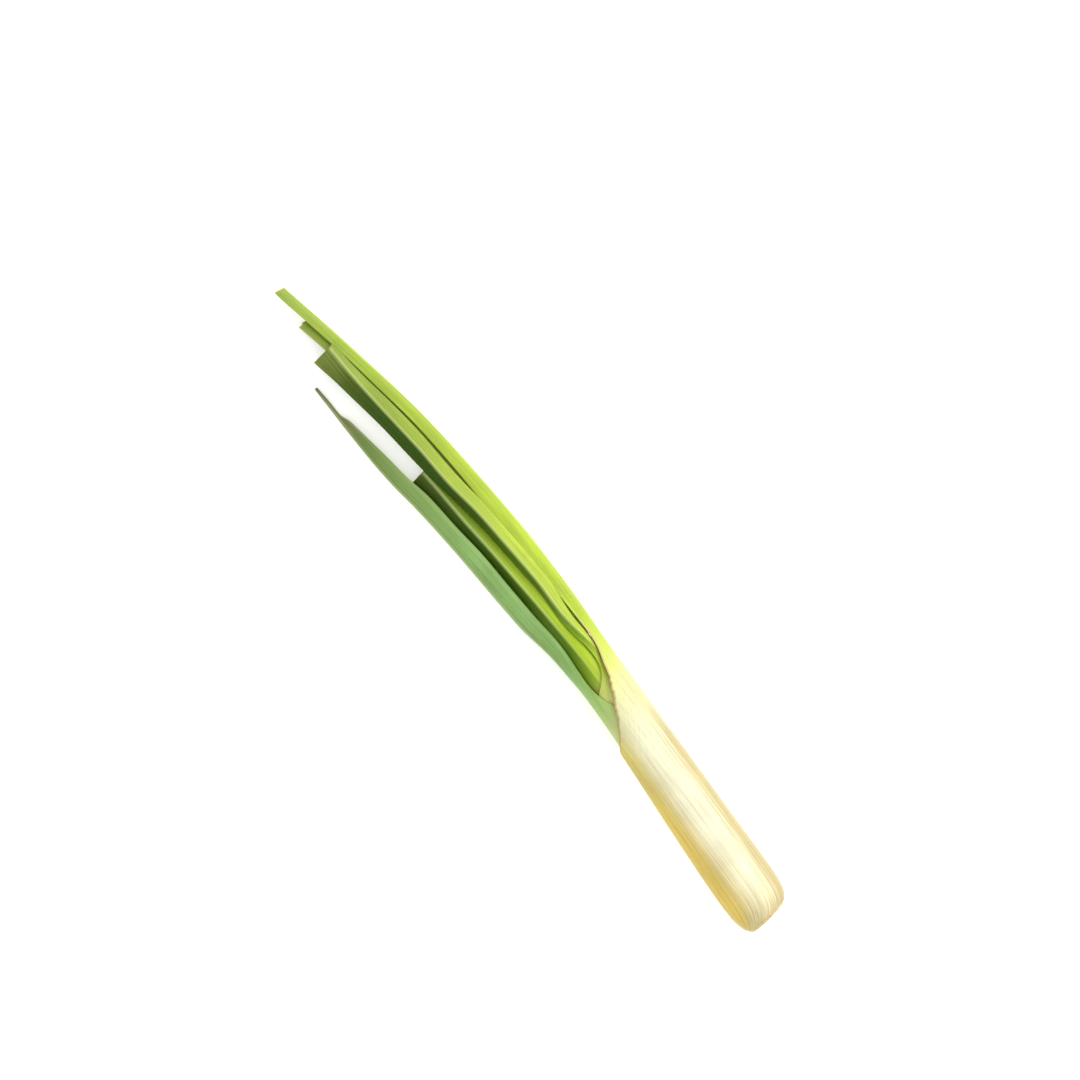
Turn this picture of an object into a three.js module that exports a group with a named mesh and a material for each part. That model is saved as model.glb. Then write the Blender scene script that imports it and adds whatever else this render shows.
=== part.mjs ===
// One lemongrass stalk, cut and laid on a flat surface: a stub of stem at the root end, and six leaves
// wrapped round one another. Each leaf grew as one piece, a rolled sheath below and a folded blade above.
// Millimetres. +X runs from the cut root end to the blade tips and +Z is up; the stalk rests on z = 0.
import * as THREE from "three";

// ---- Driving dimensions ----
const LENGTH = 280; // cut root end to the tip of the longest blade
const BASE_RADIUS = 11.2; // fattest part of the rolled sheaths
const NECK_RADIUS = 9.4; // rolled sheaths where the blades leave them
const NECK_AT = 105; // distance of that neck from the cut root end
const OVAL = 0.92; // height over width of the rolled sheaths
const GAP = [0.3, 0.6]; // clearance between neighbouring sheaths, at the root end and near the blades
const LOOSENS = [50, 85]; // stretch over which that clearance grows
const SHEATH_THICK_BASE = 0.9;
const SHEATH_THICK_NECK = 0.5;
const BLADE_THICK = 0.45;
const WRAP = THREE.MathUtils.degToRad(157.5); // half of the angle that a sheath wraps round the stalk
const AROUND = 14; // facets from margin to margin, 22.5 degrees each where a sheath is rolled
const STEPS = 14; // steps of the walk along a leaf's section
const ROUNDING = 0.34; // share of the radius that is lost at the root end, where the stalk rounds off
const ROUNDING_REACH = 3.6; // how fast that rounding fades along the stalk
const CUT_SLANT = 0.15; // slope of the root cut: it reaches furthest on the +Y side
const CUT_REACH = 6; // how fast that slope fades along the stalk
const STEM_COLLAR = 1.5; // bare stem below the lowest leaf
const LEAF_STEP = 2.4; // distance up the stem from one leaf's foot to the next
const AXIS_Y_ROOT = -2.5; // sideways place of the stalk's axis at the root end
const AXIS_Y_SWAY = -2.65; // how far the axis drifts sideways by the neck
const LIFT = 0.25; // rise of the axis where the sheaths begin to open
const CORE_RADIUS = 1.6; // top of the stem

const { clamp, lerp, smoothstep, degToRad } = THREE.MathUtils;

// ---- The stalk's axis and its nested layers ----
function taper(s) {
  return lerp(BASE_RADIUS, NECK_RADIUS, smoothstep(s, 0, NECK_AT));
}

function outerRadius(s) {
  return taper(s) * (1 - ROUNDING * Math.exp(-s / ROUNDING_REACH));
}

// How far a point is pushed up the stalk by the slanting cut, at distance s and sideways place y.
function slant(s, y) {
  return CUT_SLANT * (outerRadius(0) - (y - axisY(0))) * Math.exp(-s / CUT_REACH);
}

function sheathThickness(s) {
  return lerp(SHEATH_THICK_BASE, SHEATH_THICK_NECK, clamp(s / NECK_AT, 0, 1));
}

// Outer surface of layer 0 (outermost), 1, 2 ... at distance s from the root end.
function layerRadius(layer, s) {
  return outerRadius(s) - layer * (sheathThickness(s) + lerp(...GAP, smoothstep(s, ...LOOSENS)));
}

function axisY(s) {
  return AXIS_Y_ROOT + AXIS_Y_SWAY * smoothstep(s, 0, NECK_AT + 5);
}

function axisZ(s) {
  return taper(s) * OVAL * Math.cos(Math.PI / 16) + LIFT * smoothstep(s, 55, 80);
}

// ---- Leaves, outermost first ----
// layer: place in the nest. rolled: side of the stalk that the midrib is on while the leaf is a sheath, in
// degrees from +Y towards +Z. leaves: where the blade folds and swings away from the stalk. crease: how
// sharp the fold is, small for sharp. blade: the fold's facing and the slope of each half. wings: distances
// from the midrib to the two margins, which are cut down to the wrap while the leaf is still a sheath. keel:
// the midrib's course. Each row of blade, wings and keel starts with the distance from the root end.
const LEAVES = [
  {
    name: "outer_leaf", layer: 0, rolled: 168.75, leaves: [96, 140], end: 280, crease: 0.35, colour: 0xdfe3a6,
    blade: [[96, 172, 70], [280, 172, 70]],
    wings: [
      [70, 34, 34], [76, 27, 27], [83, 19.4, 19.4], [92, 14.2, 14.2], [99, 11.2, 11.2], [107, 8.1, 7.2],
      [115, 5.3, 4.5], [125, 4.7, 3.9], [141, 5.2, 3.8], [155, 5.6, 4], [176, 5.8, 4.3], [190, 5.2, 4.4],
      [211, 4.7, 4.4], [230, 4.6, 4.3], [246, 4.2, 4.1], [280, 4.2, 4],
    ],
    keel: [
      [96, -13.9, 8.5], [118, -14.7, 6], [141, -14.8, 4.6], [164, -14.3, 3.6], [211, -10.2, 3.3],
      [246, -4.2, 3], [280, 2.9, 2.7],
    ],
  },
  {
    name: "pointed_leaf", layer: 1, rolled: -11.25, leaves: [96, 135], end: 245, crease: 0.2,
    colour: 0x86b074,
    blade: [[96, 38, 43], [245, 38, 43]],
    wings: [
      [76, 28, 28], [83, 20, 20], [90, 14, 14], [98, 9.6, 9.6], [106, 7.5, 7.4], [120, 6.5, 6],
      [134, 6.2, 6],
      [148, 6.2, 6.2], [162, 6.2, 6.3], [176, 6.1, 5.7], [190, 6, 5.9], [200, 5.7, 5.3], [211, 4.8, 4.8],
      [225, 2.6, 3.1], [229, 2, 2.4], [232, 1.2, 1.2], [238, 0.8, 1], [245, 0.5, 0.6],
    ],
    keel: [
      [96, 4.2, 8], [106, 4.5, 8.2], [120, 4.9, 8.4], [134, 6.2, 8.5], [148, 7.3, 8.2], [162, 8.2, 7.6],
      [176, 9.3, 6.8], [190, 10.8, 6.3], [200, 12.3, 5.9], [211, 13.4, 5], [225, 14.1, 2.9], [232, 14.3, 1.6],
      [245, 14.6, 0.9],
    ],
  },
  {
    name: "square_cut_leaf", layer: 2, rolled: 146.25, leaves: [104, 145], end: 253, crease: 0.2,
    colour: 0x7d9a36,
    blade: [
      [104, 100, 44], [121, 93, 50], [145, 84, 44], [180, 84, 44], [198, 89, 40],
      [225, 89, 39], [239, 99, 41], [253, 112, 38],
    ],
    wings: [
      [84, 28, 28], [91, 18, 18], [98, 11.3, 11.8], [104, 5.6, 7], [112, 2.8, 4.6], [122, 2, 4],
      [132, 1.8, 4], [141, 2.1, 4.2], [150, 2.8, 4.1], [162, 3.2, 4.1], [176, 3.4, 4.3], [190, 3.7, 4.7],
      [197, 4.4, 4.8], [204, 4.9, 4.8], [211, 5.1, 4.8], [225, 5.4, 4.6], [239, 6.1, 4], [253, 7.4, 3.4],
    ],
    keel: [
      [104, -7.8, 12], [120, -8.1, 11.8], [141, -7.9, 11.3], [162, -6.5, 10.9], [176, -5.3, 10.5],
      [190, -3.2, 10.3], [204, -2.2, 10.1], [211, -1.5, 10], [225, 0.1, 9.9], [239, 1.5, 9.7],
      [253, 2.3, 9.6],
    ],
  },
  {
    name: "short_leaf", layer: 3, rolled: 78.75, leaves: [108, 150], end: 198.5, crease: 0.2,
    colour: 0x6f8f2c,
    blade: [
      [108, 84, 45], [120, 79, 43], [141, 77.5, 42.5], [150, 79, 42.5], [162, 82, 43.5], [176, 87.5, 43.5],
      [190, 94, 46], [198.5, 97, 47],
    ],
    wings: [
      [80, 24, 24], [88, 16, 16], [96, 10, 10], [104, 6, 6], [108, 5, 4.8], [114, 4.3, 4.4], [125, 4.3, 4.8],
      [141, 4.8, 5.2], [150, 4.9, 5.1], [162, 5, 4.9], [176, 5.1, 4.5], [190, 5.4, 3.9], [198.5, 6.3, 3],
    ],
    keel: [
      [108, -2.3, 11.7], [125, -2.5, 10.8], [141, -2.3, 10.2], [162, -0.9, 9.6], [176, 0.4, 9],
      [190, 1.3, 8.1], [198.5, 2, 7.3],
    ],
  },
  {
    name: "inner_leaf", layer: 4, rolled: 191.25, leaves: [104, 138], end: 266, crease: 0.2, colour: 0x9fc43a,
    blade: [[104, 176, 78], [265, 176, 78]],
    wings: [
      [82, 24, 24], [90, 15, 15], [97, 9, 9], [106, 5, 5], [116, 3.6, 3.6], [141, 3.7, 3.6], [190, 4.5, 3.6],
      [240, 4.9, 3.4], [265, 4.7, 3],
    ],
    keel: [
      [104, -10.2, 6.2], [120, -12.3, 5.9], [141, -12.2, 4.4], [176, -10.9, 3.2], [211, -7.7, 2.9],
      [246, -1.9, 2.8], [266, 2.4, 2.7],
    ],
  },
  // The youngest leaf is still rolled up inside the others, so it has no blade yet.
  {
    name: "heart_leaf", layer: 5, rolled: -11.25, leaves: [150, 168], end: 124, crease: 0.2, colour: 0xc8dc6a,
    blade: [[150, -11.25, 0]],
    wings: [[85, 30, 30], [104, 9, 9], [124, 2, 2]],
    keel: [[150, 0, 7]],
  },
];

// Stations along the stalk: close at the root end and through the neck, wide apart on the straight runs.
function stationsBetween(start, end) {
  const runs = [[0, 12, 4], [12, 68, 18.67], [68, 108, 4], [108, 150, 6], [150, LENGTH, 13]];
  const inner = runs.flatMap(([from, to, step]) => {
    const count = Math.round((to - from) / step);
    return Array.from({ length: count }, (_, i) => from + ((to - from) * i) / count);
  });
  return [start, ...inner.filter((s) => s > start + 1.5 && s < end - 1.5), end];
}

// A smooth value at s through [s, value ...] rows, passing through each one.
function along(rows, column, s) {
  const last = rows.length - 1;
  if (s <= rows[0][0]) return rows[0][column];
  if (s >= rows[last][0]) return rows[last][column];
  const i = rows.findIndex((row, n) => n < last && s <= rows[n + 1][0]);
  const slope = (n) => {
    const a = rows[Math.max(n - 1, 0)];
    const b = rows[Math.min(n + 1, last)];
    return (b[column] - a[column]) / (b[0] - a[0]);
  };
  const span = rows[i + 1][0] - rows[i][0];
  const t = (s - rows[i][0]) / span;
  const h = t * t * (3 - 2 * t);
  return (
    lerp(rows[i][column], rows[i + 1][column], h) +
    span * (slope(i) * t * (1 - t) * (1 - t) - slope(i + 1) * t * t * (1 - t))
  );
}

// The point of a leaf at distance s, v from margin (-1) through midrib (0) to margin (1), and depth w from
// the inner face (0) to the outer face (1).
function leafPoint(leaf, s, v, w) {
  const away = smoothstep(s, ...leaf.leaves);
  const thick = lerp(sheathThickness(s), BLADE_THICK, away);
  const radius = layerRadius(leaf.layer, s) - sheathThickness(s);
  const halfWidth = Math.min(radius * WRAP, along(leaf.wings, v < 0 ? 1 : 2, s));
  const fold = degToRad(along(leaf.blade, 2, s));
  const turn = (q) => lerp((q * halfWidth) / radius, fold * Math.tanh(q / leaf.crease), away);

  // Walk from the midrib to v along the section, turning as it goes.
  let side = 0;
  let down = 0;
  for (let i = 0; i < STEPS; i++) {
    const angle = turn((v * (i + 0.5)) / STEPS);
    side += (Math.cos(angle) * v * halfWidth) / STEPS;
    down += (Math.sin(angle) * v * halfWidth) / STEPS;
  }
  side += Math.sin(turn(v)) * thick * w;
  down -= Math.cos(turn(v)) * thick * w;

  const facing = degToRad(lerp(leaf.rolled, along(leaf.blade, 1, s), away));
  const out = [Math.cos(facing), Math.sin(facing)];
  const rolledY = axisY(s) + out[0] * radius;
  const rolledZ = axisZ(s) + out[1] * radius;
  const keelY = lerp(rolledY, along(leaf.keel, 1, s), away);
  const keelZ = lerp(rolledZ, along(leaf.keel, 2, s), away);
  const y = keelY - out[1] * side - out[0] * down;
  const z = keelZ + out[0] * side - out[1] * down;
  const oval = lerp(OVAL, 1, away);
  return [s + slant(s, y) - LENGTH / 2, y, axisZ(s) + (z - axisZ(s)) * oval];
}

function leafGeometry(leaf) {
  const stations = stationsBetween(STEM_COLLAR + leaf.layer * LEAF_STEP + GAP[0], leaf.end);
  const segments = stations.length - 1;
  const geometry = new THREE.BoxGeometry(1, 1, 1, segments, AROUND, 1);
  const place = geometry.attributes.position;
  for (let i = 0; i < place.count; i++) {
    const s = stations[Math.round((place.getX(i) + 0.5) * segments)];
    place.setXYZ(i, ...leafPoint(leaf, s, -2 * place.getY(i), place.getZ(i) + 0.5));
  }
  return geometry;
}

// ---- Stem ----
// The short solid stem that every leaf grows from, cut at the root end. Each leaf stands on a ledge.
function stemGeometry() {
  const profile = [[0, 0], [outerRadius(0), 0]];
  LEAVES.forEach((leaf) => {
    const foot = STEM_COLLAR + leaf.layer * LEAF_STEP;
    const inside = layerRadius(leaf.layer, foot) - sheathThickness(foot) - GAP[0];
    profile.push([layerRadius(leaf.layer, foot), foot], [inside, foot]);
  });
  const top = STEM_COLLAR + LEAVES.length * LEAF_STEP;
  profile.push([CORE_RADIUS, top], [0, top]);
  const points = profile.map(([r, s]) => new THREE.Vector2(r, s));
  const geometry = new THREE.LatheGeometry(points, 16, Math.PI / 16);
  const place = geometry.attributes.position;
  for (let i = 0; i < place.count; i++) {
    const s = place.getY(i);
    const y = axisY(0) - place.getX(i);
    place.setXYZ(i, s + slant(s, y) - LENGTH / 2, y, axisZ(0) + place.getZ(i) * OVAL);
  }
  return geometry;
}

// ---- Assembly ----
function finish(colour) {
  return new THREE.MeshStandardMaterial({ color: colour, roughness: 0.5, metalness: 0 });
}

const stalk = new THREE.Group();
for (const leaf of LEAVES) {
  const mesh = new THREE.Mesh(leafGeometry(leaf), finish(leaf.colour));
  mesh.name = leaf.name;
  stalk.add(mesh);
}

const stem = new THREE.Mesh(stemGeometry(), finish(0xe3d6a4));
stem.name = "stem";
stalk.add(stem);

// The origin is under the middle of the stalk, on the surface that it lies on.
const box = new THREE.Box3().setFromObject(stalk, true);
stalk.position.set(-(box.min.x + box.max.x) / 2, -(box.min.y + box.max.y) / 2, -box.min.z);

export default stalk;
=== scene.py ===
import math

import bmesh
import bpy
import numpy as np
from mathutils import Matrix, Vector, noise


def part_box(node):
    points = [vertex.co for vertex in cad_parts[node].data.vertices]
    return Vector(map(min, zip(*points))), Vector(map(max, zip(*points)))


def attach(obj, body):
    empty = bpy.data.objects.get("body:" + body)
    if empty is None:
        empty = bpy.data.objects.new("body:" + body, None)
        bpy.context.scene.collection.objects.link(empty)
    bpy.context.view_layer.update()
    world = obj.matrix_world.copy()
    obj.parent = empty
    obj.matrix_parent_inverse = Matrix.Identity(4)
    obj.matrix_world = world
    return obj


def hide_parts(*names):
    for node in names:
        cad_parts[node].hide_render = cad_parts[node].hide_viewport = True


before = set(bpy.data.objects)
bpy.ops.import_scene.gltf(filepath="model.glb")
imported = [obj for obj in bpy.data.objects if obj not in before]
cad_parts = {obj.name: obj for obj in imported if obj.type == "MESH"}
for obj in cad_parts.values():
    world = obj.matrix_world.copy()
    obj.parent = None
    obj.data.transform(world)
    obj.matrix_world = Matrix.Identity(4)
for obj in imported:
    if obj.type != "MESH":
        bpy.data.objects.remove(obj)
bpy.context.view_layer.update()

# ---- Outer leaf ----
# The oldest leaf of a lemongrass stalk: a thick cream sheath rolled right round the stalk, its margins thin
# and overlapping, which opens obliquely with a dry rim and runs on into a long lime blade. The blade is
# folded along its midrib, and a straight knife cut ends it.

# Sizes are in millimetres, measured from the cut root end, until a mesh or a shader takes them in metres.
MM = 0.001
LENGTH = 280  # to the tip of the longest blade
BASE_RADIUS = 11.2  # fattest part of the rolled sheaths
NECK_RADIUS = 9.4  # rolled sheaths where the blades leave them
NECK_AT = 105
OVAL = 0.92  # a stalk lying on its side is a little flattened
FACET = 22.5  # degrees, of the plain model's sheath, which rests on one
AXIS_Y = -2.5  # sideways place of the stalk's axis at the root end
SWAY = -2.65  # how far the axis drifts sideways by the neck
AXIS_RISE = 0.25  # where the sheaths begin to open
RISES = (55, 80)
ROUNDING = 0.34  # share of the radius lost where the root end rounds off
ROUNDING_REACH = 3.6
CUT_SLANT = 0.15  # slope of the knife cut across the root end
CUT_REACH = 6
GAP = (0.3, 0.6)  # between neighbouring sheaths, at the root end and near the blades
LOOSENS = (50, 85)  # stretch over which that gap grows
SHEATH_THICK = (0.9, 0.5)  # at the foot and at the neck
BLADE_THICK = 0.42
LEAF_STEP = 2.4  # from one leaf's foot to the next, up the stem
COLLAR = 1.5  # bare stem below the lowest leaf
VEINS = 22  # strong parallel veins from margin to margin
VEIN_RISE = 0.035
RIB_RISE = 0.16  # the midrib stands out more than the veins
RIB_WIDTH = 0.5
PAPERY_FROM = 0.72  # share of the way to the margin at which the wall starts to thin
PAPERY_LOSS = 0.72  # share of its thickness that the wall has lost at the margin
LIFTS = (74, 96)  # stretch over which a sheath's free margin stands off
LEANS = 12  # stretch before a blade's knife cut over which the cut's slant shows
FRAYS = 1.5  # and over which its edge is rough
FRAYED = 0.12
SHARP_EDGE = 50  # degrees between two faces that still look rounded


def smooth(x, start, end):
    """Nought before start, one after end, and an easy rise between them."""
    t = min(max((x - start) / (end - start), 0), 1)
    return t * t * (3 - 2 * t)


def mix(a, b, t):
    """The value that share t leads to on the way from a to b."""
    return a + (b - a) * t


def along(rows, s, column=1):
    """Smooth value at s through rows of (s, value, ...)."""
    last = len(rows) - 1
    if s <= rows[0][0]:
        return rows[0][column]
    if s >= rows[last][0]:
        return rows[last][column]
    i = next(n for n in range(last) if s <= rows[n + 1][0])

    def slope(n):
        a, b = rows[max(n - 1, 0)], rows[min(n + 1, last)]
        return (b[column] - a[column]) / (b[0] - a[0])

    span = rows[i + 1][0] - rows[i][0]
    t = (s - rows[i][0]) / span
    bend = slope(i) * t * (1 - t) ** 2 - slope(i + 1) * t * t * (1 - t)
    return mix(rows[i][column], rows[i + 1][column], t * t * (3 - 2 * t)) + span * bend


def taper(s):
    """The stalk's radius, before its root end is rounded off."""
    return mix(BASE_RADIUS, NECK_RADIUS, smooth(s, 0, NECK_AT))


def outer_radius(s):
    """The outermost sheath's outer radius."""
    return taper(s) * (1 - ROUNDING * math.exp(-s / ROUNDING_REACH))


def sheath_thickness(s):
    """A rolled sheath's wall, which thins towards the neck."""
    return mix(*SHEATH_THICK, min(s / NECK_AT, 1))


def layer_radius(layer, s):
    """Outer radius of a sheath, counting inwards from the outermost."""
    return outer_radius(s) - layer * (sheath_thickness(s) + mix(*GAP, smooth(s, *LOOSENS)))


def axis_y(s):
    """Sideways place of the stalk's axis, which sways a little."""
    return AXIS_Y + SWAY * smooth(s, 0, NECK_AT + 5)


def axis_z(s):
    """Height of the stalk's axis, which rises where the sheaths begin to open."""
    return taper(s) * OVAL * math.cos(math.radians(FACET / 2)) + AXIS_RISE * smooth(s, *RISES)


def slant(s, y):
    """How far the slanting root cut pushes a place up the stalk."""
    return CUT_SLANT * (outer_radius(0) - (y - axis_y(0))) * math.exp(-s / CUT_REACH)


stem_low, stem_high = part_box("stem")
seat = Vector((
    stem_low[0],
    (stem_low[1] + stem_high[1]) / 2 - axis_y(0) * MM,
    (stem_low[2] + stem_high[2]) / 2 - axis_z(0) * MM,
))


def leaf_section(leaf, s, across):
    """A leaf cut across at s: its inner and outer points from margin to margin, and each one's distance
    from the midrib and from its margin."""
    away = smooth(s, *leaf["leaves"])
    thick = mix(sheath_thickness(s), BLADE_THICK, away)
    radius = layer_radius(leaf["layer"], s) - sheath_thickness(s)
    widest = radius * math.radians(leaf["wrap"])
    v = np.linspace(-1, 1, across + 1)
    half = np.where(v < 0, min(widest, along(leaf["wings"], s, 1)), min(widest, along(leaf["wings"], s, 2)))
    fold = math.radians(along(leaf["blade"], s, 2))

    # A dry margin is torn: it draws back unevenly, by turns of about 2 mm with finer ones on them.
    torn = np.zeros(across + 1)
    for side, (start, end, depth) in leaf.get("torn", {}).items():
        if start < s < end:
            ragged = abs(noise.noise((s / 2.3, side * 7, 0))) + 0.6 * abs(noise.noise((s / 0.7, side, 5)))
            torn = np.where(v * side > 0, depth * ragged, torn)
    place = v * (half - torn)

    # Walk from margin to margin, turning with the roll of the sheath or the fold of the blade.
    def turn_at(p, h):
        return mix(p / radius, fold * np.tanh(p / h / leaf["crease"]), away)

    middle = (place[1:] + place[:-1]) / 2
    turn_mid = turn_at(middle, np.where(middle < 0, half[0], half[-1]))
    turn = turn_at(place, half)
    step = np.diff(place)
    side = np.concatenate(([0], np.cumsum(np.cos(turn_mid) * step)))
    down = np.concatenate(([0], np.cumsum(np.sin(turn_mid) * step)))
    side -= side[across // 2]
    down -= down[across // 2]

    # The wall thins to a papery edge: one margin keeps its outer face and overlaps the other, which keeps
    # its inner face. Veins stand a little proud, and the midrib more so.
    size = np.abs(v)
    thin = np.clip((size - PAPERY_FROM) / (1 - PAPERY_FROM), 0, 1)
    wall = thick * (1 - PAPERY_LOSS * thin * thin * (3 - 2 * thin))
    veins = VEIN_RISE * np.cos(np.pi * VEINS * v) * (1 - thin)
    rib = RIB_RISE * away * np.exp(-((place / RIB_WIDTH) ** 2))
    ripple = leaf["ripple"] * away * size**3 * np.sin(s / leaf["ripple_pitch"] * 2 * np.pi + 2 * np.sign(v))
    free = leaf.get("lift", 0) * smooth(s, *LIFTS) * (1 - away) * np.clip((-v - 0.5) / 0.5, 0, 1) ** 2
    inner = np.where(v < 0, thick - wall, 0) + ripple + free
    outer = np.where(v < 0, thick, wall) + ripple + free + veins + rib

    facing = math.radians(mix(leaf["rolled"], along(leaf["blade"], s, 1), away))
    out_y, out_z = math.cos(facing), math.sin(facing)
    keel_y = mix(axis_y(s) + out_y * radius, along(leaf["keel"], s, 1), away)
    keel_z = mix(axis_z(s) + out_z * radius, along(leaf["keel"], s, 2), away)
    oval = mix(OVAL, 1, away)
    faces = []
    for offset in (inner, outer):
        across_side = side + np.sin(turn) * offset
        across_down = down - np.cos(turn) * offset
        y = keel_y - out_z * across_side - out_y * across_down
        z = keel_z + out_y * across_side - out_z * across_down
        faces.append((y, axis_z(s) + (z - axis_z(s)) * oval))
    return faces, place, (1 - size) * half


def grow_leaf(leaf, along_count, across):
    """A leaf as one closed body: a flat grid given a second face, then rolled and folded into place.

    Angles are in degrees from +Y towards +Z. layer counts inwards from the outermost leaf. wrap is half
    the angle that the sheath goes round, and rolled the side that its midrib is on. leaves is the stretch
    over which it turns into a blade, and end the knife cut, which cut_lean slants. crease is small for a
    sharp fold. ripple and ripple_pitch are the blade's waves, and lift and torn what the sheath's free
    margins do. Each row starts with a distance: blade goes on with the fold's facing and slope, wings with
    the two halves' widths and keel with the midrib's y and z."""
    start = COLLAR + leaf["layer"] * LEAF_STEP + 0.05
    end = leaf["end"]
    stations = np.linspace(start, end, along_count + 1)
    work = bmesh.new()
    bmesh.ops.create_grid(work, x_segments=along_count, y_segments=across, size=0.5)
    bmesh.ops.extrude_face_region(work, geom=work.faces[:], use_keep_orig=True)
    marks = {name: work.verts.layers.float.new(name) for name in ("lengthwise", "crosswise", "rim", "cut")}
    half_count = len(work.verts) // 2
    sections = [leaf_section(leaf, s, across) for s in stations]
    for index, vertex in enumerate(work.verts):
        i = round((vertex.co.x + 0.5) * along_count)
        j = round((vertex.co.y + 0.5) * across)
        faces, crosswise, rim = sections[i]
        y, z = faces[int(index < half_count)]
        s = stations[i]
        lean = leaf["cut_lean"] * (2 * j / across - 1) * smooth(s, end - LEANS, end)
        rough = FRAYED * noise.noise((j * 0.4, end, 0)) * smooth(s, end - FRAYS, end)
        vertex.co = seat + MM * Vector((s + slant(s, y[j]) + lean + rough, y[j], z[j]))
        vertex[marks["lengthwise"]] = s * MM
        vertex[marks["crosswise"]] = crosswise[j] * MM
        vertex[marks["rim"]] = rim[j] * MM
        vertex[marks["cut"]] = (end - s) * MM
    bmesh.ops.recalc_face_normals(work, faces=work.faces[:])
    mesh = bpy.data.meshes.new(leaf["name"])
    work.to_mesh(mesh)
    work.free()
    mesh.shade_smooth()
    mesh.set_sharp_from_angle(angle=math.radians(SHARP_EDGE))
    piece = bpy.data.objects.new(leaf["name"] + "_tissue", mesh)
    bpy.context.scene.collection.objects.link(piece)
    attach(piece, "root")
    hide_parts(leaf["name"])
    return piece


def linear(code):
    """An sRGB hex colour as linear red, green, blue and alpha."""
    parts = [int(code[i:i + 2], 16) / 255 for i in (0, 2, 4)]
    return [c / 12.92 if c <= 0.04045 else ((c + 0.055) / 1.055) ** 2.4 for c in parts] + [1]


def add(tree, kind, inputs=None, **settings):
    """A shader node with its settings, and each input's value or the socket linked to it."""
    made = tree.nodes.new("ShaderNode" + kind)
    for key, value in settings.items():
        setattr(made, key, value)
    for socket, value in (inputs or {}).items():
        if isinstance(value, bpy.types.NodeSocket):
            tree.links.new(value, made.inputs[socket])
        else:
            made.inputs[socket].default_value = value
    return made


def calculate(tree, operation, *terms):
    """One step of arithmetic on values or sockets."""
    return add(tree, "Math", dict(enumerate(terms)), operation=operation).outputs[0]


def colour_ramp(tree, share, stops):
    """Colours that follow one another as share goes from 0 to 1, from (share, colour) stops."""
    ramp = add(tree, "ValToRGB", {"Fac": share})
    elements = ramp.color_ramp.elements
    while len(elements) < len(stops):
        elements.new(0.5)
    for element, (position, code) in zip(elements, stops):
        element.position = position
        element.color = linear(code)
    return ramp.outputs["Color"]


def colours_along(tree, reach, course):
    """Colours that follow one another up the stalk, from (distance from the root end, colour) stops."""
    share = calculate(tree, "DIVIDE", reach, LENGTH * MM)
    return colour_ramp(tree, share, [(distance / LENGTH, code) for distance, code in course])


def repeats(size):
    """Texture scale for a pattern whose marks are this size."""
    return 1 / (size * MM)


def ramp_value(tree, value, start, end, low=0.0, high=1.0, ease="LINEAR"):
    """low where value is at start or beyond it, high where it is at end or beyond, either way round."""
    return add(tree, "MapRange", {"Value": value, "From Min": start, "From Max": end, "To Min": low,
                                  "To Max": high}, interpolation_type=ease).outputs[0]


def blend(tree, factor, colour, other):
    """colour turned into other by the factor."""
    return add(tree, "Mix", {"Factor": factor, "A": colour, "B": other}, data_type="RGBA").outputs["Result"]


def grain(tree, flow, scale, detail):
    """Marks drawn out along the leaf."""
    stretched = add(tree, "Mapping", {"Vector": flow, "Scale": scale}).outputs["Vector"]
    return add(tree, "TexNoise", {"Vector": stretched, "Scale": 1, "Detail": detail}).outputs["Fac"]


def bumps(tree, height, strength, depth):
    """A surface normal that follows small relief, depth from its lowest to its highest."""
    relief = add(tree, "Bump", {"Height": height, "Strength": strength, "Distance": depth * MM})
    return relief.outputs["Normal"]


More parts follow.
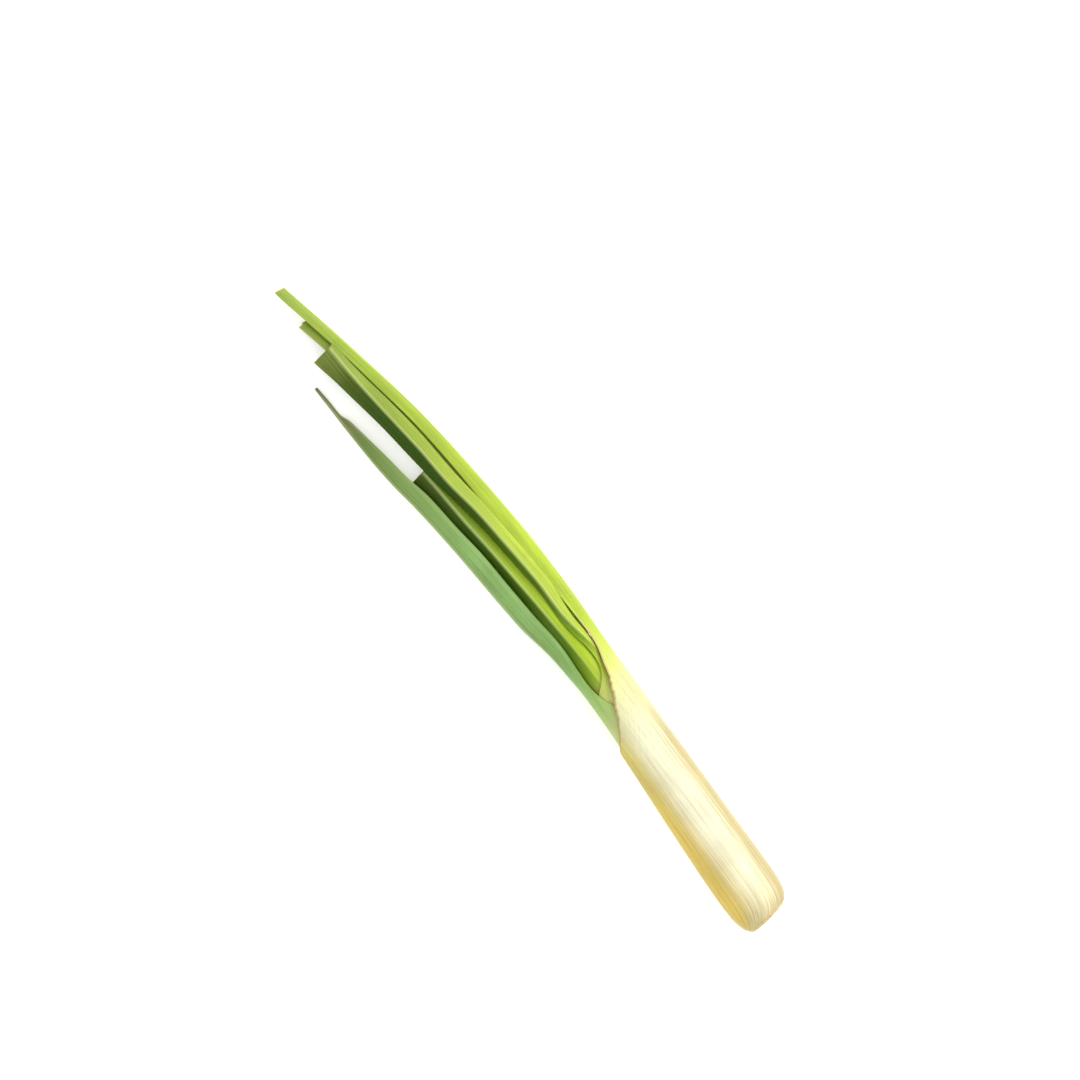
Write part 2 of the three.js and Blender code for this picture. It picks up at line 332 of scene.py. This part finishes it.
def leaf_tissue(name, course, far_course, rim_colour, rim_from, rim_to, roughness=0.46, bloom=0.0,
                coat=0.15, specular=0.3, far_from=-0.3, far_to=0.3, keel=None, keel_to=0):
    """Fresh grass leaf: coloured along its length, streaked by its fibres and veins, with a pale midrib, a
    dry edge and a waxy skin. course is the half on one side of the midrib, far_course the other; a darker
    course paints shade on the half away from the lamp. keel is the colour of a tan stripe of painted shade
    along a sheath's broad back, as far up as keel_to."""
    material = bpy.data.materials.new(name)
    material.use_nodes = True
    tree = material.node_tree
    tree.nodes.clear()
    lengthwise = add(tree, "Attribute", attribute_name="lengthwise").outputs["Fac"]
    crosswise = add(tree, "Attribute", attribute_name="crosswise").outputs["Fac"]
    rim = add(tree, "Attribute", attribute_name="rim").outputs["Fac"]
    cut = add(tree, "Attribute", attribute_name="cut").outputs["Fac"]
    place = add(tree, "TexCoord").outputs["Object"]
    flow = add(tree, "CombineXYZ", {"X": lengthwise, "Y": crosswise}).outputs["Vector"]

    # Fibre streaks about 0.5 mm wide and 30 mm long, finer ones of 0.2 mm, and blotches of 12 mm.
    streaks = grain(tree, flow, (repeats(28.57), repeats(0.5263), 1), 3)
    fibres = grain(tree, flow, (repeats(16.67), repeats(0.1923), 1), 2)
    patches = add(tree, "TexNoise", {"Vector": place, "Scale": repeats(11.765), "Detail": 2}).outputs["Fac"]

    # The colour change along the leaf isn't a straight line across it: it follows the streaks and patches.
    drift = calculate(tree, "MULTIPLY_ADD", streaks, 16 * MM, lengthwise)
    drift = calculate(tree, "MULTIPLY_ADD", patches, 12 * MM, drift)
    reach = calculate(tree, "SUBTRACT", drift, 14 * MM)
    # One half may take a darker course than the other: painted shade on the side that faces away from the
    # lamp.
    near_colour = colours_along(tree, reach, course)
    far_colour = colours_along(tree, reach, far_course)
    far = ramp_value(tree, crosswise, far_from * MM, far_to * MM, ease="SMOOTHSTEP")
    colour = blend(tree, far, near_colour, far_colour)

    side = calculate(tree, "ABSOLUTE", crosswise)
    if keel:
        # Painted shade along the sheath's back: a broad tan stripe, about 12 mm wide, darkening the stalk's
        # edge, that fades into the blade.
        ragged = calculate(tree, "MULTIPLY_ADD", streaks, 6 * MM, side)
        keel_shade = ramp_value(tree, ragged, 13.5 * MM, 6 * MM, ease="SMOOTHSTEP")
        in_sheath = ramp_value(tree, reach, (keel_to + 20) * MM, (keel_to - 20) * MM)
        keel_shade = calculate(tree, "MULTIPLY", keel_shade, in_sheath)
        colour = blend(tree, keel_shade, colour, linear(keel))

    for marks, spread in ((streaks, 0.16), (fibres, 0.07), (patches, 0.07)):
        tone = ramp_value(tree, marks, 0.3, 0.7, 1 - spread, 1 + spread)
        colour = add(tree, "VectorMath", {0: colour, "Scale": tone}, operation="SCALE").outputs[0]

    # Midrib: a pale line under a millimetre wide, in the blade only.
    on_rib = ramp_value(tree, side, 0.6 * MM, 0.2 * MM)
    in_blade = ramp_value(tree, lengthwise, 100 * MM, 130 * MM, high=0.3)
    on_rib = calculate(tree, "MULTIPLY", on_rib, in_blade)
    colour = blend(tree, on_rib, colour, linear("C9D890"))

    # Dry edge: half a millimetre or so of papery margin over part of the leaf, and the knife cut.
    edge = calculate(tree, "MULTIPLY_ADD", streaks, -0.9 * MM, rim)
    edge = ramp_value(tree, edge, 0.4 * MM, -0.1 * MM)
    after = ramp_value(tree, lengthwise, (rim_from - 6) * MM, rim_from * MM)
    before = ramp_value(tree, lengthwise, (rim_to + 10) * MM, rim_to * MM)
    edge = calculate(tree, "MULTIPLY", edge, after)
    edge = calculate(tree, "MULTIPLY", edge, before)
    end = ramp_value(tree, cut, 0.8 * MM, 0.1 * MM, high=0.7)
    dry = calculate(tree, "MAXIMUM", edge, end)
    colour = blend(tree, dry, colour, linear(rim_colour))

    height = calculate(tree, "ADD", fibres, streaks)
    normal = bumps(tree, height, 0.35, 0.08)
    rough = ramp_value(tree, patches, 0.3, 0.7, roughness - 0.06, roughness + 0.08)
    skin = add(tree, "BsdfPrincipled", {
        "Base Color": colour, "Roughness": rough, "IOR": 1.42, "Specular IOR Level": specular,
        "Normal": normal,
        "Subsurface Weight": 0.12, "Subsurface Radius": (1.0, 0.9, 0.3), "Subsurface Scale": 1.2 * MM,
        "Coat Weight": coat, "Coat Roughness": 0.38, "Coat IOR": 1.45,
        "Sheen Weight": bloom, "Sheen Roughness": 0.4, "Sheen Tint": linear("DCE9E0"),
    })
    add(tree, "OutputMaterial", {"Surface": skin.outputs["BSDF"]})
    return material


outer_leaf = {
    "name": "outer_leaf", "layer": 0, "wrap": 195, "rolled": 168.75, "leaves": (96, 140), "end": 280,
    "crease": 0.35, "cut_lean": -0.5, "ripple": 0.1, "ripple_pitch": 23, "lift": 0.5,
    "torn": {-1: (73, 106, 1.1), 1: (73, 104, 1.1)},
    "blade": ((96, 172, 70), (280, 172, 70)),
    "wings": (
        (70, 34, 34), (76, 27, 27), (83, 19.4, 19.4), (92, 14.2, 14.2), (99, 11.2, 11.2), (107, 8.1, 7.2),
        (115, 5.3, 4.5), (125, 4.7, 3.9), (141, 5.2, 3.8), (155, 5.6, 4), (176, 5.8, 4.3), (190, 5.2, 4.4),
        (211, 4.7, 4.4), (230, 4.6, 4.3), (246, 4.2, 4.1), (280, 4.2, 4),
    ),
    "keel": (
        (96, -13.9, 8.5), (118, -14.7, 6), (141, -14.8, 4.6), (164, -14.3, 3.6), (211, -10.2, 3.3),
        (246, -4.2, 3), (280, 2.9, 2.7),
    ),
}
piece = grow_leaf(outer_leaf, 280, 132)
# Cream with a soft waxy shine, turning to lime up the blade, with painted shade: a deeper yellow on the
# side away from the lamp and a tan stripe along the back. The opening has a dry brown edge.
piece.data.materials.append(leaf_tissue(
    "waxy cream sheath and lime blade",
    ((0, "C6AE60"), (8, "DABF5C"), (40, "D5BA56"), (80, "D0C05E"), (98, "C9CC68"), (108, "AABA3E"),
     (122, "9CB028"), (170, "96AC20"), (235, "88A022"), (268, "8A9E30"), (280, "7E9234")),
    ((0, "CCBB8C"), (8, "DCD3AC"), (40, "DDD8BA"), (80, "DBD8B5"), (96, "CFD192"), (110, "B2C048"),
     (124, "9EB22A"), (170, "98AE22"), (235, "8AA024"), (268, "8A9E30"), (280, "7E9234")),
    "B4946C", 74, 118, far_from=-22.5, far_to=-13.5, keel="B3A472", keel_to=90,
))

# ---- Pointed leaf ----
# The second leaf: its blade is blue-green with a dusty wax bloom, folded along the midrib and drawn out
# into a point that has dried to a thread.

pointed_leaf = {
    "name": "pointed_leaf", "layer": 1, "wrap": 190, "rolled": -11.25, "leaves": (96, 135), "end": 245,
    "crease": 0.2, "cut_lean": 0, "ripple": 0.1, "ripple_pitch": 31,
    "blade": ((96, 38, 43), (245, 38, 43)),
    "wings": (
        (76, 28, 28), (83, 20, 20), (90, 14, 14), (98, 9.6, 9.6), (106, 7.5, 7.4), (120, 6.5, 6),
        (134, 6.2, 6), (148, 6.2, 6.2), (162, 6.2, 6.3), (176, 6.1, 5.7), (190, 6, 5.9), (200, 5.7, 5.3),
        (211, 4.8, 4.8), (225, 2.6, 3.1), (229, 2, 2.4), (232, 1.2, 1.2), (238, 0.8, 1), (245, 0.5, 0.6),
    ),
    "keel": (
        (96, 4.2, 8), (106, 4.5, 8.2), (120, 4.9, 8.4), (134, 6.2, 8.5), (148, 7.3, 8.2), (162, 8.2, 7.6),
        (176, 9.3, 6.8), (190, 10.8, 6.3), (200, 12.3, 5.9), (211, 13.4, 5), (225, 14.1, 2.9),
        (232, 14.3, 1.6), (245, 14.6, 0.9),
    ),
}
piece = grow_leaf(pointed_leaf, 260, 88)
blue_green = ((0, "D9CF93"), (84, "BFCB80"), (98, "9CBE66"), (112, "88AE60"), (135, "7FA35C"),
              (165, "7DA05A"), (192, "78964F"), (218, "6C803F"), (232, "70744C"), (245, "7E7C60"))
# A cool green, matt and dusty with wax, that dries to a grey brown towards the point.
piece.data.materials.append(leaf_tissue(
    "blue-green leaf with wax bloom", blue_green, blue_green,
    "7F8158", 225, LENGTH, roughness=0.55, bloom=0.25, coat=0.1,
))

# ---- Square-cut leaf ----
# A broad olive blade folded along its midrib. The half away from the light carries painted shade, a deeper
# green, and turns up towards the end, which is cut square across.

square_cut_leaf = {
    "name": "square_cut_leaf", "layer": 2, "wrap": 185, "rolled": 146.25, "leaves": (104, 145), "end": 253,
    "crease": 0.2, "cut_lean": 1.0, "ripple": 0.1, "ripple_pitch": 27,
    "blade": (
        (104, 100, 44), (121, 93, 50), (145, 84, 44), (180, 84, 44), (198, 89, 40), (225, 89, 39),
        (239, 99, 41), (253, 112, 38),
    ),
    "wings": (
        (84, 28, 28), (91, 18, 18), (98, 11.3, 11.8), (104, 5.6, 7), (112, 2.8, 4.6), (122, 2, 4),
        (132, 1.8, 4), (141, 2.1, 4.2), (150, 2.8, 4.1), (162, 3.2, 4.1), (176, 3.4, 4.3), (190, 3.7, 4.7),
        (197, 4.4, 4.8), (204, 4.9, 4.8), (211, 5.1, 4.8), (225, 5.4, 4.6), (239, 6.1, 4), (253, 7.4, 3.4),
    ),
    "keel": (
        (104, -7.8, 12), (120, -8.1, 11.8), (141, -7.9, 11.3), (162, -6.5, 10.9), (176, -5.3, 10.5),
        (190, -3.2, 10.3), (204, -2.2, 10.1), (211, -1.5, 10), (225, 0.1, 9.9), (239, 1.5, 9.7),
        (253, 2.3, 9.6),
    ),
}
piece = grow_leaf(square_cut_leaf, 240, 88)
# Painted shade makes the half that faces away from the lamp deep olive; the other half is yellow green,
# with little shine.
piece.data.materials.append(leaf_tissue(
    "satin olive leaf with painted shade",
    ((0, "DDD295"), (94, "CFD678"), (106, "A2B838"), (120, "6E8A18"), (142, "56740E"), (168, "44620A"),
     (190, "35520A"), (222, "38540C"), (240, "4E621C"), (253, "6E7C38")),
    ((0, "DDD295"), (94, "D2DA7C"), (106, "B4C448"), (122, "9CAE38"), (165, "98AA38"), (205, "869832"),
     (225, "7C9032"), (253, "768634")),
    "6F7440", 247, LENGTH, coat=0.05, specular=0.15,
))

# ---- Short leaf ----
# A folded blade in the middle of the bunch, with painted shade darkening one half. It grew on the stem like
# the others, and the knife that trimmed them left it shortest of all.

short_leaf = {
    "name": "short_leaf", "layer": 3, "wrap": 180, "rolled": 78.75, "leaves": (108, 150), "end": 198.5,
    "crease": 0.2, "cut_lean": 0.8, "ripple": 0.06, "ripple_pitch": 19,
    "blade": (
        (108, 84, 45), (120, 79, 43), (141, 77.5, 42.5), (150, 79, 42.5), (162, 82, 43.5),
        (176, 87.5, 43.5), (190, 94, 46), (198.5, 97, 47),
    ),
    "wings": (
        (80, 24, 24), (88, 16, 16), (96, 10, 10), (104, 6, 6), (108, 5, 4.8), (114, 4.3, 4.4),
        (125, 4.3, 4.8), (141, 4.8, 5.2), (150, 4.9, 5.1), (162, 5, 4.9), (176, 5.1, 4.5),
        (190, 5.4, 3.9), (198.5, 6.3, 3),
    ),
    "keel": (
        (108, -2.3, 11.7), (125, -2.5, 10.8), (141, -2.3, 10.2), (162, -0.9, 9.6), (176, 0.4, 9),
        (190, 1.3, 8.1), (198.5, 2, 7.3),
    ),
}
piece = grow_leaf(short_leaf, 180, 88)
# Painted shade makes one half the darkest green of the bunch; the other half is lime.
piece.data.materials.append(leaf_tissue(
    "satin dark green leaf",
    ((0, "DED497"), (92, "C2CE68"), (104, "82A028"), (118, "547410"), (142, "44620A"), (170, "37520A"),
     (198, "44561A")),
    ((0, "DED497"), (92, "C6D26C"), (104, "AABE3C"), (120, "96B022"), (150, "88A022"), (172, "6E861C"),
     (198, "56681A")),
    "5C5E30", 190, LENGTH, coat=0.05, specular=0.15,
))

# ---- Inner leaf ----
# A younger leaf, whose narrow lime blade lies in the fold of the outer leaf's. The same knife cut it a
# little shorter.

inner_leaf = {
    "name": "inner_leaf", "layer": 4, "wrap": 175, "rolled": 191.25, "leaves": (104, 138), "end": 266,
    "crease": 0.2, "cut_lean": 0.5, "ripple": 0.05, "ripple_pitch": 21,
    "blade": ((104, 176, 78), (265, 176, 78)),
    "wings": (
        (82, 24, 24), (90, 15, 15), (97, 9, 9), (106, 5, 5), (116, 3.6, 3.6), (141, 3.7, 3.6),
        (190, 4.5, 3.6), (240, 4.9, 3.4), (265, 4.7, 3),
    ),
    "keel": (
        (104, -10.2, 6.2), (120, -12.3, 5.9), (141, -12.2, 4.4), (176, -10.9, 3.2), (211, -7.7, 2.9),
        (246, -1.9, 2.8), (266, 2.4, 2.7),
    ),
}
piece = grow_leaf(inner_leaf, 220, 66)
lime = ((0, "E2DA9F"), (95, "D3DC78"), (120, "A2B634"), (170, "90A828"), (240, "7C9620"), (266, "728A20"))
# An even, fresh lime green.
piece.data.materials.append(leaf_tissue("smooth lime leaf", lime, lime, "8A8A4A", 255, LENGTH))

# ---- Heart leaf ----
# The youngest leaf, still a soft tube rolled up inside all the others, where the light hasn't reached it.
# It has no blade yet.

heart_leaf = {
    "name": "heart_leaf", "layer": 5, "wrap": 165, "rolled": -11.25, "leaves": (150, 168), "end": 124,
    "crease": 0.2, "cut_lean": 0, "ripple": 0, "ripple_pitch": 20,
    "blade": ((150, -11.25, 0),),
    "wings": ((85, 30, 30), (104, 9, 9), (124, 2, 2)),
    "keel": ((150, 0, 7),),
}
piece = grow_leaf(heart_leaf, 120, 66)
pale = ((0, "E8E0AE"), (70, "E2E4A0"), (124, "B6CC60"))
# Nearly white at the foot, and the first green at the tip.
piece.data.materials.append(leaf_tissue("soft pale young leaf", pale, pale, "B7B070", 120, LENGTH))

# ---- Stem ----
# The short solid stem that the leaves grow from, sliced through at the root end: rings of old leaf bases
# round a fibrous core, a collar with the dried scars of trimmed roots, and a ledge for each leaf.

SCARS = 15
SCAR_SIZE = 0.45
SCAR_HEIGHT = 0.9  # up the collar
COLLAR_RADIUS = 7.3
RINGS = 5  # old leaf bases in the sliced face
RING_START = 1.6
RING_PITCH = 1.2
TOP_RADIUS = 1.6
CLEARANCE = 0.3  # between the stem and the sheath above each ledge
SCAR_SWELL = 0.03  # share of the radius by which a scar stands up
SLICE_LUMPS = 0.08
FLESH_RADIUS = 8.5  # where the flesh's colours end


def scar_weight(angle, s):
    """How strongly a root scar raises the collar at this place."""
    weight = 0
    for k in range(SCARS):
        turn = angle - k * 2 * math.pi / SCARS - 0.3 * noise.noise((k, 3, 0))
        around = math.atan2(math.sin(turn), math.cos(turn)) * COLLAR_RADIUS
        gap = math.hypot(around, s - SCAR_HEIGHT - 0.4 * noise.noise((k, 8, 0)))
        weight = max(weight, math.exp(-((gap / SCAR_SIZE) ** 2)))
    return weight


# Half of the stem's section, as (radius, distance) points from the middle of the slice to the top.
profile = [(0, 0.35), (0.8, 0.3)]
for ring in range(RINGS):
    radius = RING_START + ring * RING_PITCH
    profile += [(radius, 0.2), (radius + 0.1, 0.4), (radius + 0.26, 0.4), (radius + 0.36, 0.2)]
profile += [(7.05, 0.1), (COLLAR_RADIUS, 0.15)]
profile += [(outer_radius(s) * 0.985, s) for s in (0.3, 0.5, 0.7, 0.9, 1.1, 1.3, COLLAR)]
for layer in range(6):
    foot = COLLAR + layer * LEAF_STEP
    inside = layer_radius(layer, foot) - sheath_thickness(foot) - CLEARANCE
    profile += [(inside, foot + 0.01), (inside, foot + LEAF_STEP * 0.9)]
top = COLLAR + 6 * LEAF_STEP
profile += [(TOP_RADIUS, top), (0, top)]

work = bmesh.new()
points = [work.verts.new((s * MM, 0, r * MM)) for r, s in profile]
chain = [work.edges.new(pair) for pair in zip(points, points[1:])]
bmesh.ops.spin(work, geom=points + chain, axis=(1, 0, 0), cent=(0, 0, 0), angle=2 * math.pi, steps=144,
               use_merge=True)
bmesh.ops.remove_doubles(work, verts=work.verts[:], dist=0.005 * MM)
scar = work.verts.layers.float.new("scar")
radial = work.verts.layers.float.new("radial")
for vertex in work.verts:
    s = vertex.co.x / MM
    y, z = vertex.co.y / MM, vertex.co.z / MM
    vertex[radial] = math.hypot(y, z) * MM
    if 0.25 < s <= COLLAR:
        vertex[scar] = scar_weight(math.atan2(z, y), s)
        swell = 1 + SCAR_SWELL * vertex[scar]
        y, z = y * swell, z * swell
    # A slice is never quite smooth.
    lumps = SLICE_LUMPS * noise.noise((y * 1.5, z * 1.5, 0)) if s < 0.45 else 0
    y += axis_y(0)
    vertex.co = seat + MM * Vector((s + slant(s, y) + lumps, y, axis_z(0) + z * OVAL))
bmesh.ops.recalc_face_normals(work, faces=work.faces[:])
mesh = bpy.data.meshes.new("stem")
work.to_mesh(mesh)
work.free()
mesh.shade_smooth()
mesh.set_sharp_from_angle(angle=math.radians(SHARP_EDGE))
piece = bpy.data.objects.new("stem_cut", mesh)
bpy.context.scene.collection.objects.link(piece)

# Moist pale flesh, cream in the middle and tan towards the skin, with fine pores and faint brown scars.
material = bpy.data.materials.new("sliced fibrous stem")
material.use_nodes = True
tree = material.node_tree
tree.nodes.clear()
place = add(tree, "TexCoord").outputs["Object"]
radial_place = add(tree, "Attribute", attribute_name="radial").outputs["Fac"]
scars = add(tree, "Attribute", attribute_name="scar").outputs["Fac"]
# Pores about 0.6 mm apart and clouds of 3 mm.
pore_map = add(tree, "TexVoronoi", {"Vector": place, "Scale": repeats(0.5882)}, feature="F1")
pores = pore_map.outputs["Distance"]
clouds = add(tree, "TexNoise", {"Vector": place, "Scale": repeats(3.125), "Detail": 4}).outputs["Fac"]
wander = calculate(tree, "MULTIPLY_ADD", clouds, 1.2 * MM, radial_place)
share = calculate(tree, "DIVIDE", wander, FLESH_RADIUS * MM)
colour = colour_ramp(tree, share, ((0, "E9E0B4"), (0.25, "E4D79C"), (0.6, "DFCE8E"), (0.85, "D8C480"),
                                   (1, "D4BE7C")))
tone = ramp_value(tree, pores, 0.1, 0.5, 0.82, 1.05)
colour = add(tree, "VectorMath", {0: colour, "Scale": tone}, operation="SCALE").outputs[0]
brown = ramp_value(tree, scars, 0.45, 0.95, high=0.5)
colour = blend(tree, brown, colour, linear("8A6238"))
height = calculate(tree, "ADD", pores, clouds)
normal = bumps(tree, height, 0.5, 0.12)
flesh = add(tree, "BsdfPrincipled", {
    "Base Color": colour, "Roughness": 0.6, "IOR": 1.4, "Normal": normal,
    "Subsurface Weight": 0.15, "Subsurface Radius": (1.0, 0.8, 0.4), "Subsurface Scale": 1.5 * MM,
})
add(tree, "OutputMaterial", {"Surface": flesh.outputs["BSDF"]})
piece.data.materials.append(material)
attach(piece, "root")
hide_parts("stem")

# ---- Table, light and camera ----
# A plain white table, lit a little from below, under a large soft lamp from the stalk's keel side with a
# weak fill all round, seen from straight above with the root end at the lower right.

TABLE_SIZE = 4
TABLE_DROP = 0.0003  # the table lies just under the stalk
HEIGHT = 1.1  # camera over table
FRAME_WIDTH = 0.382  # stretch of table that the picture spans

bpy.ops.mesh.primitive_plane_add(size=TABLE_SIZE, location=(0, 0, -TABLE_DROP))
table = bpy.context.object
table.name = "table"
white = bpy.data.materials.new("matt white light table")
white.use_nodes = True
surface = white.node_tree.nodes["Principled BSDF"].inputs
surface["Base Color"].default_value = linear("F2F2F0")
surface["Roughness"].default_value = 0.9
# White laminate with a faint glow of its own, so that the shadows stay pale.
surface["Emission Color"].default_value = (1, 1, 1, 1)
surface["Emission Strength"].default_value = 0.38
table.data.materials.append(white)

# Each lamp's place and size in metres and its power in watts.
for name, place, size, power in (
    ("key_softbox", (0.28, -1.07, 0.69), 1.0, 18),
    ("top_softbox", (-0.1, 0.1, 1.3), 1.2, 4.5),
):
    lamp = bpy.data.lights.new(name, "AREA")
    lamp.size = size
    lamp.energy = power
    holder = bpy.data.objects.new(name, lamp)
    holder.location = place
    holder.rotation_euler = (-Vector(place)).to_track_quat("-Z", "Y").to_euler()
    bpy.context.scene.collection.objects.link(holder)

world = bpy.data.worlds.new("studio")
world.use_nodes = True
world.node_tree.nodes["Background"].inputs["Color"].default_value = (1, 1, 1, 1)
world.node_tree.nodes["Background"].inputs["Strength"].default_value = 0.7
bpy.context.scene.world = world
bpy.context.scene.view_settings.view_transform = "Standard"

view = bpy.data.cameras.new("camera")
view.lens = view.sensor_width * HEIGHT / FRAME_WIDTH
camera = bpy.data.objects.new("camera", view)
camera.location = (0.0148, -0.0169, HEIGHT)
camera.rotation_euler = (0, 0, math.radians(-126.6))
bpy.context.scene.collection.objects.link(camera)
bpy.context.scene.camera = camera
